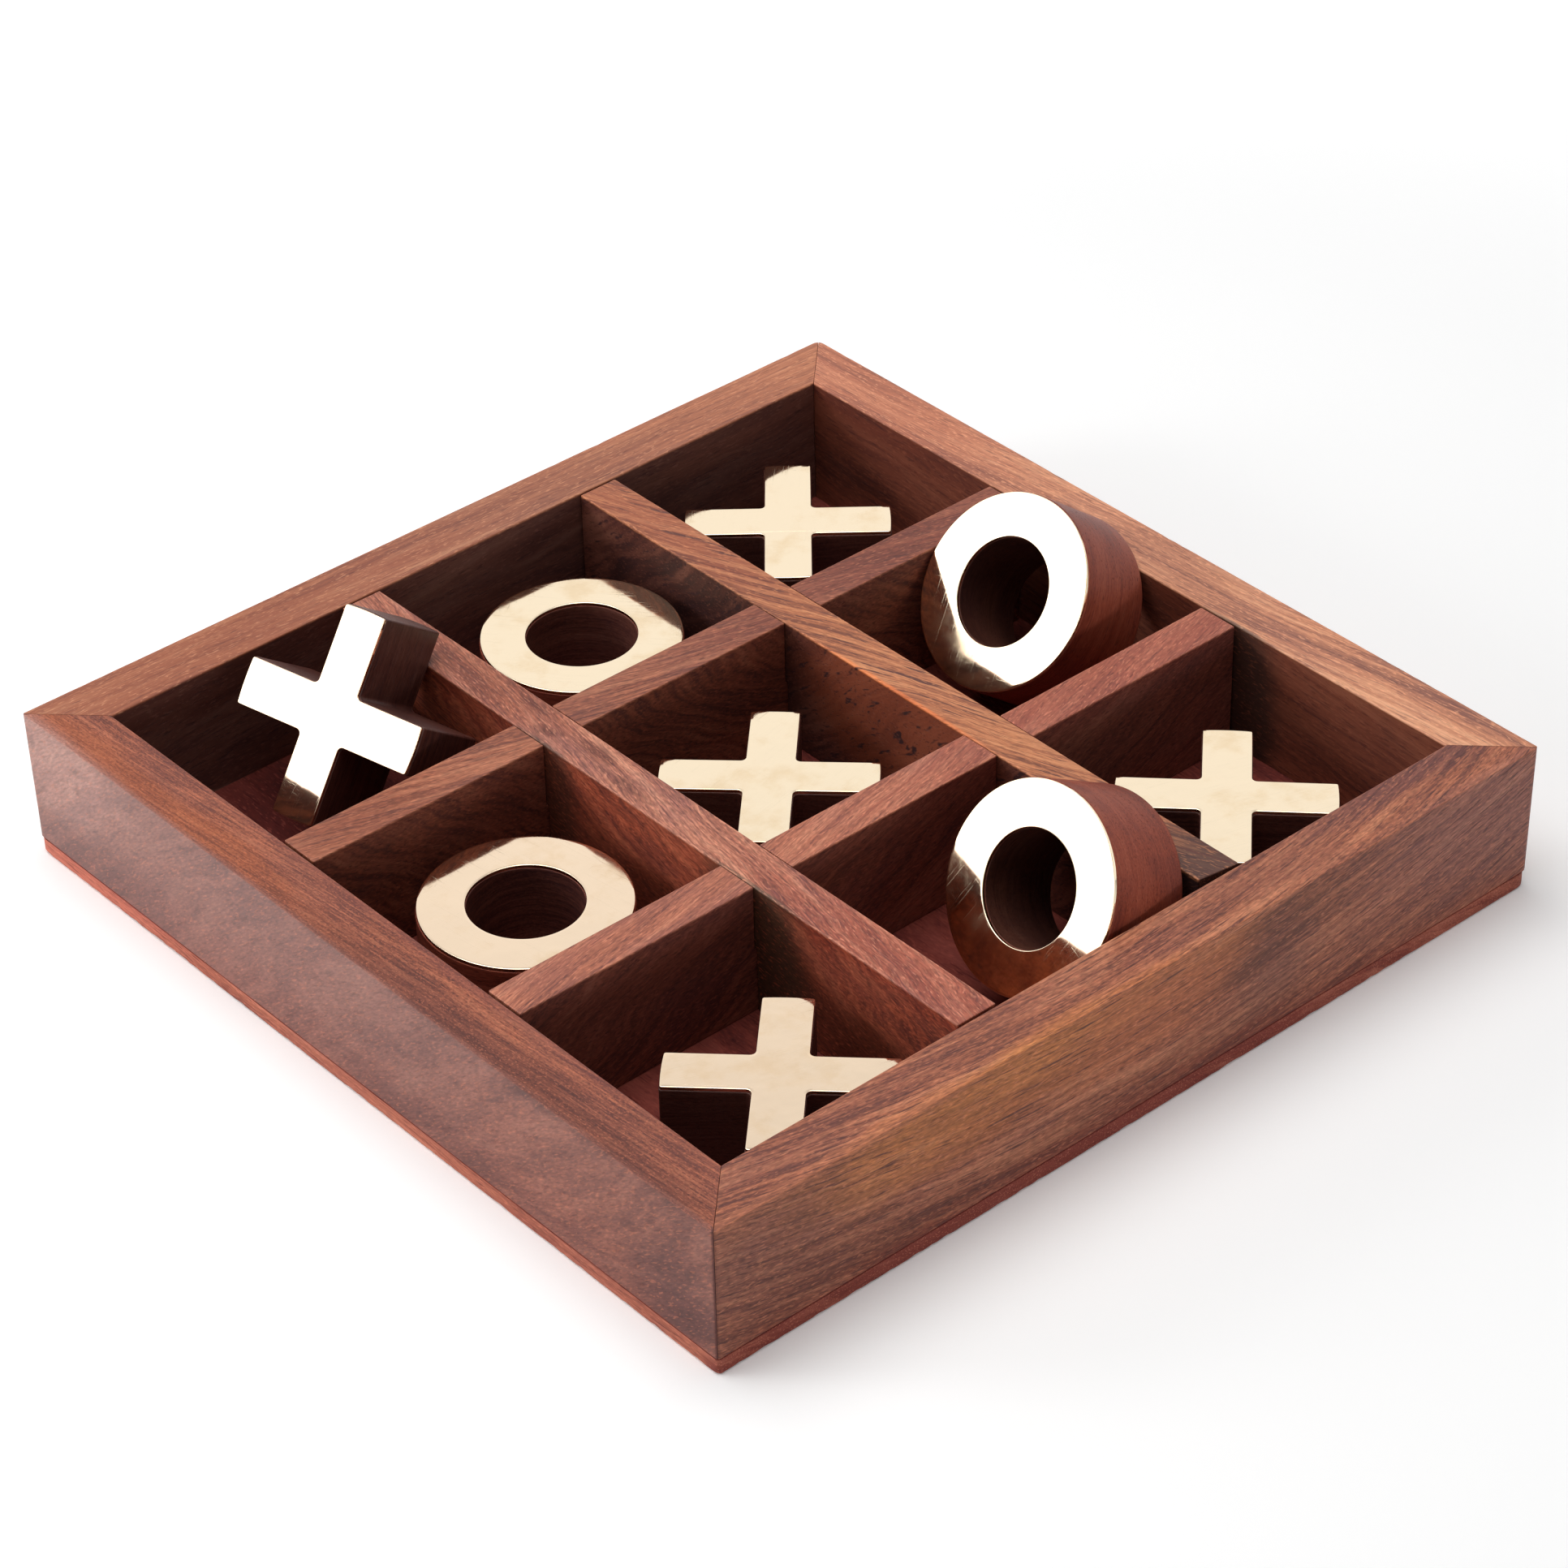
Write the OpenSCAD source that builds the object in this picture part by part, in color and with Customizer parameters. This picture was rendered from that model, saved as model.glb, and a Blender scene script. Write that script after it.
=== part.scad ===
// Square tic-tac-toe board of dark hardwood with nine loose playing pieces.
// A mitred frame stands on a thin base panel, and four half-lapped dividers make nine cells.
// Five pieces are crosses and four are rings: wooden bodies, each with a brass plate on top.
// Three pieces lean on a wall of their cell, and the other six lie flat.
// Millimetres, +Z up. The origin is the middle of the underside, -Y is the front and +X the right.

/* [Frame] */
// Thickness of the base panel
base_t = 3; // [2:0.5:8]
// Height of the rails and dividers above the base panel
wall_h = 23; // [16:0.5:36]
// Width of a rail, seen from above
rail_t = 10; // [6:0.5:18]
// Thickness of a divider
divider_t = 7.4; // [4:0.2:14]
// Radius of the upright outer corners of the board
outer_corner_r = 0.8; // [0.2:0.1:4]
// Bevel along the top edges of the rails and dividers
wall_bevel = 0.3; // [0.1:0.1:1.5]
// Gap between the end of a divider and the rail
end_gap = 0.4; // [0.1:0.1:1.2]
// Gap on each side of a divider in its half lap
lap_gap = 0.1; // [0.05:0.05:0.4]

/* [Cells] */
// Room for the fingers around the longest piece in the centre cell
finger_room = 7; // [4:0.2:16]
// How much deeper the cells along the rails are than the centre cell
outer_extra = 2.7; // [0:0.1:10]
// Least gap between a piece and the walls of its cell
wall_gap = 0.3; // [0.1:0.1:1]

/* [Crosses] */
// Length of a cross from one arm end to the other
cross_span = 34.6; // [28:0.2:44]
// Width of the arms of a cross
cross_arm_w = 8; // [6:0.2:12]
// Radius at the corners of the arm ends
cross_corner_r = 0.4; // [0.2:0.1:1.8]
// Radius of the inside corners between two arms
cross_fillet_r = 0.8; // [0.4:0.1:3]

/* [Rings] */
// Outer diameter of a ring
ring_d = 33; // [26:0.2:44]
// Diameter of the hole through a ring
ring_hole_d = 17.9; // [10:0.1:22]

/* [Bodies and plates] */
// Height of the wooden body of a piece
body_h = 15; // [8:0.5:18]
// Thickness of the brass plate on a piece
plate_t = 0.6; // [0.4:0.1:2]
// Distance that a plate stays inside the edge of its body
plate_inset = 0.1; // [0.05:0.05:0.4]

/* [Pieces that lie flat] */
// Turn of the cross in the front right cell
front_right_angle = 45; // [0:1:90]
// Place of the cross in the front right cell, as shares of the free room
front_right_share = [0.86, 0.4]; // [-1:0.01:1]
// Turn of the cross in the centre cell
centre_angle = 45.5; // [0:0.5:90]
// Place of the cross in the centre cell, as shares of the free room
centre_share = [0.14, -0.29]; // [-1:0.01:1]
// Turn of the cross in the back left cell
back_left_angle = 49; // [0:1:90]
// Place of the cross in the back left cell, as shares of the free room
back_left_share = [-0.22, -0.34]; // [-1:0.01:1]
// Turn of the cross in the back right cell
back_right_angle = 44; // [0:1:90]
// Place of the cross in the back right cell, as shares of the free room
back_right_share = [0.26, -0.6]; // [-1:0.01:1]
// Place of the ring in the front centre cell, as shares of the free room
front_centre_share = [0.06, 0.21]; // [-1:0.01:1]
// Place of the ring in the middle left cell, as shares of the free room
middle_left_share = [0.25, 0.45]; // [-1:0.01:1]

/* [Pieces that lean] */
// Gap between a leaning piece and the base panel and wall that carry it
lean_gap = 0.3; // [0.1:0.1:0.6]
// Tilt of the cross in the front left cell, from lying flat
front_left_tilt = 52.5; // [46:0.5:70]
// Turn of the cross in the front left cell, seen from above
front_left_angle = 12.5; // [0:0.5:18]
// Place of the cross in the front left cell along its wall, as a share of the free room
front_left_share = -0.05; // [-1:0.05:1]
// Tilt of the ring in the middle right cell, from lying flat
middle_right_tilt = 61; // [46:0.5:70]
// Turn of the ring in the middle right cell, seen from above
middle_right_angle = -2.5; // [-8:0.5:8]
// Place of the ring in the middle right cell along its wall, as a share of the free room
middle_right_share = 1; // [-1:0.05:1]
// Tilt of the ring in the back centre cell, from lying flat
back_centre_tilt = 52.5; // [46:0.5:70]
// Turn of the ring in the back centre cell, seen from above
back_centre_angle = -1.5; // [-8:0.5:8]
// Place of the ring in the back centre cell along its wall, as a share of the free room
back_centre_share = -1; // [-1:0.05:1]

/* [Hidden] */
// Facets of a full circle
$fn = 96;

// Colours of the woods and of the plates
panel_colour = [0.42, 0.17, 0.12];
rail_colour = [0.50, 0.27, 0.17];
divider_colour = [0.46, 0.24, 0.16];
body_colour = [0.30, 0.13, 0.09];
brass_colour = [0.93, 0.83, 0.62];

// How far a cutting shape runs past what it cuts
cut_extra = 1;
// Height at which the two halves of a lap meet
lap_h = wall_h / 2;
// Angle between the points that stand for the rim of a leaning ring
rim_step = 5;

// The centre cell takes the longest piece with room for the fingers
centre_cell_w = max(cross_span, ring_d) + finger_room;
outer_cell_w = centre_cell_w + outer_extra;
divider_at = (centre_cell_w + divider_t) / 2;
inner_half = centre_cell_w / 2 + divider_t + outer_cell_w;
board_w = 2 * (inner_half + rail_t);

// Sizes of the pieces, measured from their middles
cross_half = cross_span / 2;
arm_half = cross_arm_w / 2;
ring_r = ring_d / 2;
piece_h = body_h + plate_t;

// Middle and half width of a column or row of cells: 0 is left or front, 1 is the middle
function cell_middle(n) = (n - 1) * (divider_at + divider_t / 2 + outer_cell_w / 2);
function cell_half(n) = (n == 1 ? centre_cell_w : outer_cell_w) / 2;

// Half width of a cross that lies flat and is turned
function cross_reach(turn) = max(
    cross_half * abs(cos(turn)) + arm_half * abs(sin(turn)),
    arm_half * abs(cos(turn)) + cross_half * abs(sin(turn))
);

// Where a piece that lies flat is in its cell, along one direction
function flat_at(n, share, reach) = cell_middle(n) + share * (cell_half(n) - reach - wall_gap);

// A leaning piece stands on its foot, and its underside leans on the wall's top edge.
// If the wall is higher than the piece, the piece's own top leans on the wall instead.

function turned(p, angle) = [p.x * cos(angle) - p.y * sin(angle), p.x * sin(angle) + p.y * cos(angle)];

// Outlines of the undersides about their middles, with -Y towards the foot
cross_corners = [
    for (
        quarter = [0 : 90 : 270],
        p = [[cross_half, -arm_half], [cross_half, arm_half], [arm_half, arm_half]]
    )
        turned(p, quarter)
];
ring_rim = [for (angle = [0 : rim_step : 360 - rim_step]) ring_r * [cos(angle), sin(angle)]];

function foot_of(outline) = -min([for (p = outline) p.y]);

// Points of an outline that are no higher than a level, and those where it crosses the level
function below(outline, level) = [
    for (i = [0 : len(outline) - 1])
        let (p = outline[i], q = outline[(i + 1) % len(outline)])
        each concat(
            p.y <= level ? [p] : [],
            (p.y - level) * (q.y - level) < 0 ? [p + (q - p) * (level - p.y) / (q.y - p.y)] : []
        )
];

// How far the underside reaches towards its wall, from its foot
function lean_reach(outline, tilt, turn) =
    let (
        foot = foot_of(outline),
        wall_top = (wall_h - lean_gap) / sin(tilt) - foot
    )
    max([
        for (p = below(outline, wall_top))
            p.x * sin(turn) + (p.y + foot) * cos(tilt) * cos(turn)
    ]);

// Distances along the wall from the foot to the corners of the piece
function lean_widths(outline, tilt, turn) =
    let (foot = foot_of(outline))
    [
        for (p = outline, z = [0, piece_h])
            p.x * cos(turn) - ((p.y + foot) * cos(tilt) - z * sin(tilt)) * sin(turn)
    ];

// Where the foot is along the wall
function lean_at(n, share, widths) =
    let (
        middle = (max(widths) + min(widths)) / 2,
        half_width = (max(widths) - min(widths)) / 2
    )
    cell_middle(n) + share * (cell_half(n) - half_width - wall_gap) - middle;

// Bar with rounded corners, centred
module rounded_bar(length, width, r) {
    square([length - 2 * r, width], center = true);
    square([length, width - 2 * r], center = true);
    for (x = [-1, 1], y = [-1, 1])
        translate([x * (length / 2 - r), y * (width / 2 - r)])
            circle(r);
}

// Section of a rail or divider: upright, with its two top edges bevelled
module wall_section(thickness) {
    half = thickness / 2;
    polygon([
        [-half, 0],
        [half, 0],
        [half, wall_h - wall_bevel],
        [half - wall_bevel, wall_h],
        [wall_bevel - half, wall_h],
        [-half, wall_h - wall_bevel]
    ]);
}

// Straight length of wall along X, standing on z = 0
module wall_strip(length, thickness) {
    rotate([90, 0, 90])
        linear_extrude(length, center = true)
            wall_section(thickness);
}

// Rail with a mitre at each end, turned from the front to its side of the frame
module rail(turn) {
    color(rail_colour)
        rotate([0, 0, turn])
            intersection() {
                translate([0, -inner_half - rail_t / 2, base_t])
                    wall_strip(board_w + 2 * cut_extra, rail_t);
                translate([0, 0, base_t - cut_extra])
                    linear_extrude(wall_h + 2 * cut_extra)
                        intersection() {
                            polygon([[0, 0], [-board_w, -board_w], [board_w, -board_w]]);
                            rounded_bar(board_w, board_w, outer_corner_r);
                        }
            }
}

// Divider with a notch over each crossing divider, open at the bottom or at the top
module divider(at, turn, notch_z) {
    notch = [divider_t + 2 * lap_gap, divider_t + 2 * cut_extra, lap_h + cut_extra];
    color(divider_colour)
        rotate([0, 0, turn])
            translate([0, at, base_t])
                difference() {
                    wall_strip(2 * (inner_half - end_gap), divider_t);
                    for (side = [-1, 1])
                        translate([side * divider_at - notch.x / 2, -notch.y / 2, notch_z])
                            cube(notch);
                }
}

module base_panel() {
    color(panel_colour)
        linear_extrude(base_t)
            rounded_bar(board_w, board_w, outer_corner_r);
}

module front_rail() { rail(0); }
module right_rail() { rail(90); }
module back_rail() { rail(180); }
module left_rail() { rail(270); }

module front_divider() { divider(-divider_at, 0, -cut_extra); }
module back_divider() { divider(divider_at, 0, -cut_extra); }
module left_divider() { divider(-divider_at, -90, lap_h); }
module right_divider() { divider(divider_at, -90, lap_h); }

// Outline of a cross, drawn inside the body's edge by the inset
module cross_outline(inset) {
    width = cross_arm_w - 2 * inset;
    fillet_r = cross_fillet_r + inset;
    for (turn = [0, 90])
        rotate(turn)
            rounded_bar(cross_span - 2 * inset, width, cross_corner_r);
    for (turn = [0 : 90 : 270])
        rotate(turn)
            translate([width / 2, width / 2])
                difference() {
                    square(2 * fillet_r, center = true);
                    translate([fillet_r, fillet_r])
                        circle(fillet_r);
                }
}

module cross_body() {
    color(body_colour)
        linear_extrude(body_h)
            cross_outline(0);
}

module cross_plate() {
    color(brass_colour)
        translate([0, 0, body_h])
            linear_extrude(plate_t)
                cross_outline(plate_inset);
}

// Ring standing on z = 0, with its rims inside the body's edges by the inset
module plain_ring(height, inset) {
    difference() {
        cylinder(h = height, r = ring_r - inset);
        translate([0, 0, -cut_extra])
            cylinder(h = height + 2 * cut_extra, r = ring_hole_d / 2 + inset);
    }
}

module ring_body() {
    color(body_colour)
        plain_ring(body_h, 0);
}

module ring_plate() {
    color(brass_colour)
        translate([0, 0, body_h])
            plain_ring(plate_t, plate_inset);
}

// Lays a cross flat in the cell of a column and row
module lay_cross(column, row, turn, share) {
    reach = cross_reach(turn);
    translate([flat_at(column, share.x, reach), flat_at(row, share.y, reach), base_t])
        rotate([0, 0, turn])
            children();
}

// Lays a ring flat in the cell of a column and row
module lay_ring(column, row, share) {
    translate([flat_at(column, share.x, ring_r), flat_at(row, share.y, ring_r), base_t])
        children();
}

// Stands a piece on its foot and leans its underside on the back wall of its cell
module lean(column, row, tilt, turn, share, outline) {
    x = lean_at(column, share, lean_widths(outline, tilt, turn));
    y = cell_middle(row) + cell_half(row) - lean_gap - lean_reach(outline, tilt, turn);
    translate([x, y, base_t + lean_gap])
        rotate([tilt, 0, turn])
            translate([0, foot_of(outline), 0])
                children();
}

// Places of the nine pieces, from the front left cell to the back right one
module in_front_left() {
    lean(0, 0, front_left_tilt, front_left_angle, front_left_share, cross_corners)
        children();
}

module in_front_centre() {
    lay_ring(1, 0, front_centre_share)
        children();
}

module in_front_right() {
    lay_cross(2, 0, front_right_angle, front_right_share)
        children();
}

module in_middle_left() {
    lay_ring(0, 1, middle_left_share)
        children();
}

module in_centre() {
    lay_cross(1, 1, centre_angle, centre_share)
        children();
}

module in_middle_right() {
    lean(2, 1, middle_right_tilt, middle_right_angle, middle_right_share, ring_rim)
        children();
}

module in_back_left() {
    lay_cross(0, 2, back_left_angle, back_left_share)
        children();
}

module in_back_centre() {
    lean(1, 2, back_centre_tilt, back_centre_angle, back_centre_share, ring_rim)
        children();
}

module in_back_right() {
    lay_cross(2, 2, back_right_angle, back_right_share)
        children();
}

module cross_front_left_wood() { in_front_left() cross_body(); }
module cross_front_left_brass() { in_front_left() cross_plate(); }
module ring_front_centre_wood() { in_front_centre() ring_body(); }
module ring_front_centre_brass() { in_front_centre() ring_plate(); }
module cross_front_right_wood() { in_front_right() cross_body(); }
module cross_front_right_brass() { in_front_right() cross_plate(); }
module ring_middle_left_wood() { in_middle_left() ring_body(); }
module ring_middle_left_brass() { in_middle_left() ring_plate(); }
module cross_centre_wood() { in_centre() cross_body(); }
module cross_centre_brass() { in_centre() cross_plate(); }
module ring_middle_right_wood() { in_middle_right() ring_body(); }
module ring_middle_right_brass() { in_middle_right() ring_plate(); }
module cross_back_left_wood() { in_back_left() cross_body(); }
module cross_back_left_brass() { in_back_left() cross_plate(); }
module ring_back_centre_wood() { in_back_centre() ring_body(); }
module ring_back_centre_brass() { in_back_centre() ring_plate(); }
module cross_back_right_wood() { in_back_right() cross_body(); }
module cross_back_right_brass() { in_back_right() cross_plate(); }

base_panel();
front_rail();
right_rail();
back_rail();
left_rail();
front_divider();
back_divider();
left_divider();
right_divider();
cross_front_left_wood();
cross_front_left_brass();
ring_front_centre_wood();
ring_front_centre_brass();
cross_front_right_wood();
cross_front_right_brass();
ring_middle_left_wood();
ring_middle_left_brass();
cross_centre_wood();
cross_centre_brass();
ring_middle_right_wood();
ring_middle_right_brass();
cross_back_left_wood();
cross_back_left_brass();
ring_back_centre_wood();
ring_back_centre_brass();
cross_back_right_wood();
cross_back_right_brass();
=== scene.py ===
import math

import bmesh
import bpy
from mathutils import Matrix, Vector, noise


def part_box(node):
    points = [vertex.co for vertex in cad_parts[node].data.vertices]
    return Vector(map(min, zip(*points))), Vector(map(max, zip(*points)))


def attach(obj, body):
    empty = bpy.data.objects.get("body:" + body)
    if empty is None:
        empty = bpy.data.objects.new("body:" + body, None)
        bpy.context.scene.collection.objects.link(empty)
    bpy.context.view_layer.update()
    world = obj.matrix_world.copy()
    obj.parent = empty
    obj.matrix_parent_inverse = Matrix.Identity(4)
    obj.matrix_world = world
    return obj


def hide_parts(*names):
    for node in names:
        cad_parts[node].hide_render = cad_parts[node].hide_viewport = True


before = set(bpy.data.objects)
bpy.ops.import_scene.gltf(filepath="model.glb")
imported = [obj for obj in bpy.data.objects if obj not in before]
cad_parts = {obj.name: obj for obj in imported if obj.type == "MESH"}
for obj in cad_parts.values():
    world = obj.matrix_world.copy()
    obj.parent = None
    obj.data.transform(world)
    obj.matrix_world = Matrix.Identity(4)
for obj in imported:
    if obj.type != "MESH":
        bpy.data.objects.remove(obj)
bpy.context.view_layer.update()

# Every length is in metres, and MM turns millimetres into them.
MM = 0.001


# Sizes read from the frame

panel_low, panel_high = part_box("base_panel")
rail_low, rail_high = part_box("front_rail")
divider_low, divider_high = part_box("front_divider")
BOARD = panel_high.x - panel_low.x
HALF = BOARD / 2
PANEL_TOP = panel_high.z
RAIL_TOP = rail_high.z
RAIL_DEPTH = rail_high.y - rail_low.y

# The same in millimetres, for places in the grain
SIDE = BOARD / MM
PANEL_HEIGHT = PANEL_TOP / MM
WALL_HEIGHT = (RAIL_TOP - PANEL_TOP) / MM
RAIL_WIDTH = RAIL_DEPTH / MM
DIVIDER_WIDTH = (divider_high.y - divider_low.y) / MM

# Details of the real board that the solids leave out
SEAM_ROUND = 0.03 * MM
OUTER_ARRIS = 0.14 * MM
INNER_ARRIS = 0.25 * MM
MITRE_GAP = 0.01 * MM
MITRE_ROUND = 0.04 * MM
DIVIDER_ARRIS = 0.2 * MM
LAP_GAP = 0.1 * MM

# Nicks along the outer top arris of a rail, and how far from it they reach
NICK_DEPTH = 0.12 * MM
NICK_LENGTH = 1.9 * MM
NICK_ZONE = 0.4 * MM
NICK_LEVEL = 0.25

# How near its end a divider is worn
WORN_ZONE = 0.3 * MM

# Depth of the unevenness left by sanding, and its width on each kind of part
SURFACE_WAVE = 0.05 * MM
PIECE_WAVE = 0.04 * MM
RAIL_WAVES = 14 * MM
DIVIDER_WAVES = 12 * MM
PIECE_WAVES = 9 * MM
PANEL_WAVES = 6 * MM

# Plan radius of the four outer corners at the top and at the foot
FRONT_CORNER = (0.7 * MM, 0.6 * MM)
RIGHT_CORNER = (0.7 * MM, 1.6 * MM)
BACK_CORNER = (1.6 * MM, 1.6 * MM)
LEFT_CORNER = (0.6 * MM, 1.6 * MM)

# Plan radius of the panel's corners, left, front, right and back
PANEL_CORNERS = (2.1 * MM, 0.7 * MM, 2.1 * MM, 1.8 * MM)

# Height and inset of the panel's outline in mm, from the underside up, for a 3 mm panel
PANEL_LAYERS = (
    (0.0, 3.0), (0.0, 0.5), (0.06, 0.24), (0.2, 0.08), (0.5, 0.0), (1.2, 0.0), (1.9, 0.0),
    (2.5, 0.0), (2.9, 0.0), (2.98, 0.005), (3.0, 0.02), (3.0, 2.0),
)

# Small chips along the panel's lower edge, up to a height in mm, and the top of its waves
CHIP_DEPTH = 0.45 * MM
CHIP_SIZE = 1.7 * MM
CHIP_TOP = 0.4
PANEL_WAVES_TOP = 2.6

# Steps of the meshes: the places of a rail's sections from each end in mm, the number of
# sections between them, the spacing of points elsewhere, and which edges count as sharp
RAIL_ENDS = (0.0, 0.05, 0.2, 0.45, 0.7, 1.0, 1.4, 1.9, 2.6, 3.6)
RAIL_SECTIONS = 100
SECTION_STEP = 4 * MM
DIVIDER_STEP = 2.5 * MM
PANEL_STEP = 0.9 * MM
ARC_SUPPORT = 0.35 * MM
SHARP_ANGLE = math.radians(50)
ARRIS_ANGLE = 1.0

# Playing pieces
CROSS_ARM = 8 * MM
CROSS_CORNER = 0.4 * MM
CROSS_FILLET = 0.85 * MM
CROSS_END_BULGE = 0.15 * MM
CROSS_END_ZONE = 0.5 * MM
WOOD_FOOT_ROUND = 0.35 * MM
WOOD_HEAD_ROUND = 0.12 * MM
BRASS_EDGE_ROUND = 0.14 * MM
BRASS_FOOT_ROUND = 0.04 * MM
SMALLEST_ROUND = 0.06 * MM
RING_SEGMENTS = 144

# A rounded edge, as height and inset in shares of its radius
EDGE_CURVE = ((0.08, 0.6), (0.3, 0.28), (0.6, 0.08), (1.0, 0.0))

# From piece to piece, the turn of the cut in radians and its way along the plank in mm
CUT_TURN, CUT_STEP = 0.4, 1.3
PLANK_STEP = Vector((61.0, 23.0, 37.0))


def linear(red, green, blue):
    """Linear colour of a colour given in display values from 0 to 255."""
    out = []
    for value in (red, green, blue):
        v = value / 255
        out.append(v / 12.92 if v <= 0.04045 else ((v + 0.055) / 1.055) ** 2.4)
    return (*out, 1.0)


# Node building

# Colour sockets of a Mix node, which are told apart by their number only
MIX_FIRST, MIX_SECOND, MIX_RESULT = 6, 7, 2


class Graph:
    """The nodes of a new material or world, with short calls that add to them."""

    def __init__(self, owner):
        owner.use_nodes = True
        self.owner = owner
        self.tree = owner.node_tree
        self.shader = self.tree.nodes.get("Principled BSDF")

    def node(self, kind, **settings):
        made = self.tree.nodes.new(kind)
        for key, value in settings.items():
            setattr(made, key, value)
        return made

    def feed(self, socket, value):
        """Links another node's output to a socket, or sets the socket to a plain value."""
        if isinstance(value, bpy.types.NodeSocket):
            self.tree.links.new(value, socket)
        else:
            socket.default_value = value

    def maths(self, operation, first, second=0.0, third=0.0):
        made = self.node("ShaderNodeMath", operation=operation)
        for socket, value in zip(made.inputs, (first, second, third)):
            self.feed(socket, value)
        return made.outputs[0]

    def vector(self, operation, first, second=(0, 0, 0), third=(0, 0, 0)):
        made = self.node("ShaderNodeVectorMath", operation=operation)
        for socket, value in zip(made.inputs, (first, second, third)):
            self.feed(socket, value)
        return made.outputs["Value" if operation == "LENGTH" else "Vector"]

    def attribute(self, name, output="Vector"):
        return self.node("ShaderNodeAttribute", attribute_name=name).outputs[output]

    def split(self, vector):
        made = self.node("ShaderNodeSeparateXYZ")
        self.feed(made.inputs[0], vector)
        return made.outputs

    def join(self, x, y, z):
        made = self.node("ShaderNodeCombineXYZ")
        for socket, value in zip(made.inputs, (x, y, z)):
            self.feed(socket, value)
        return made.outputs[0]

    def noise(self, vector, stretch=(1, 1, 1), detail=2.0, roughness=0.5):
        """Noise from 0 to 1 whose cells are 1 / stretch wide."""
        made = self.node("ShaderNodeTexNoise")
        self.feed(made.inputs["Vector"], self.vector("MULTIPLY", vector, stretch))
        made.inputs["Scale"].default_value = 1.0
        made.inputs["Detail"].default_value = detail
        made.inputs["Roughness"].default_value = roughness
        return made.outputs["Fac"]

    def ease(self, value, low, high, to_low=0.0, to_high=1.0):
        """Smooth step of a value from low to high."""
        made = self.node("ShaderNodeMapRange", interpolation_type="SMOOTHSTEP")
        self.feed(made.inputs["Value"], value)
        made.inputs["From Min"].default_value = low
        made.inputs["From Max"].default_value = high
        made.inputs["To Min"].default_value = to_low
        made.inputs["To Max"].default_value = to_high
        return made.outputs["Result"]

    def mix(self, amount, first, second, blend="MIX"):
        made = self.node("ShaderNodeMix", data_type="RGBA", blend_type=blend)
        self.feed(made.inputs["Factor"], amount)
        self.feed(made.inputs[MIX_FIRST], first)
        self.feed(made.inputs[MIX_SECOND], second)
        return made.outputs[MIX_RESULT]

    def multiply(self, first, second):
        return self.mix(1.0, first, second, "MULTIPLY")

    def ramp(self, value, stops):
        made = self.node("ShaderNodeValToRGB")
        self.feed(made.inputs["Fac"], value)
        elements = made.color_ramp.elements
        while len(elements) < len(stops):
            elements.new(0.5)
        for element, (position, colour) in zip(elements, stops):
            element.position = position
            element.color = colour
        return made.outputs["Color"]

    def bump(self, height, strength, distance, normal=None):
        made = self.node("ShaderNodeBump")
        self.feed(made.inputs["Height"], height)
        made.inputs["Strength"].default_value = strength
        made.inputs["Distance"].default_value = distance
        if normal is not None:
            self.feed(made.inputs["Normal"], normal)
        return made.outputs["Normal"]


# Rosewood

def tinted(colour, tint):
    """A colour with each part multiplied."""
    return (*(part * share for part, share in zip(colour, tint)), 1.0)


# Tints of the middle colour for dark and light growth, pores and lines, wear, and cool clouds
DARK, LIGHT = (0.42, 0.4, 0.5), (1.42, 1.74, 1.8)
DEEP, BRIGHT = (0.26, 0.24, 0.4), (1.85, 2.15, 2.2)
COOL = (0.5, 0.54, 0.85)


# Fineness of each noise along, through and across the growth layers, per mm
ZONES = (0.013, 0.16, 0.04)
BANDS = (0.035, 0.75, 0.09)
LINES = (0.04, 2.6, 0.15)
FIBRE = (0.7, 3.8, 2.4)
GLINTS = (0.03, 3.0, 0.2)
PORES = (0.28, 4.2, 2.6)
FLECKS = (0.8, 4.0, 3.2)
SPECKS = (0.75, 3.4, 3.0)

# Fineness of the noises that follow the piece itself
WANDER = (0.012, 0.05, 0.05)
RIPPLE = (0.06, 0.22, 0.22)
CLOUDS = (0.05, 0.12, 0.12)
RUBBED = (1.0, 2.4, 2.4)

# Share of its colour's figure that a patch keeps, and how ragged its edge is
PATCH_FIGURE, PATCH_RAGGED = 0.45, 1.0

ROSEWOOD = dict(
    offset=(0, 0, 0),        # where in the plank this piece was cut, mm
    mid=linear(150, 84, 56),
    layer_turn=35.0,         # tilt of the growth layers in the section, degrees
    slope=0.03,              # drift of the layers along the piece
    curve=0.0,               # bend of the layers along the piece, per mm
    lean=0.0,                # rise of the fibres in the outer face, degrees
    warp=3.0,                # wander of the layers, mm
    zones=0.9,               # contrast of the widest colour zones
    bands=1.0,               # contrast of streaks about 2 mm wide
    lines=0.9,               # contrast of lines about 0.5 mm wide
    fibre=0.6,               # contrast of the finest grain
    stripes=0.5,             # share of the dark lines
    pores=0.5,               # share of the dark pores
    flecks=0.35,             # share of the light flecks
    speckle=0.1,             # share of the finest specks
    clouds=0.35,             # share of the cool clouds
    ripple=0.6,              # small waves of the layers, mm
    streak=(0.1, 2.6, 0.4),  # fineness of the dark lines along, across and up, per mm
    glints=0.0,              # share of the thin light lines
    wear=None,               # rubbed arrises: width of the piece, share
    patches=(),              # place and reach in mm, colour, share, then figure and raggedness
    shade=None,              # painted shade on inner faces: axis, middle, half width, top, factor
    corner_line=0.0,         # share of the painted shadow line in the mitre joints at the outer corners
    bore=None,               # painted shade on the hole's wall, as a factor
    sheen=None,              # lacquer on the outer face: full until, none from, weight
    rough=0.42,
    specular=0.3,
)


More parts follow.
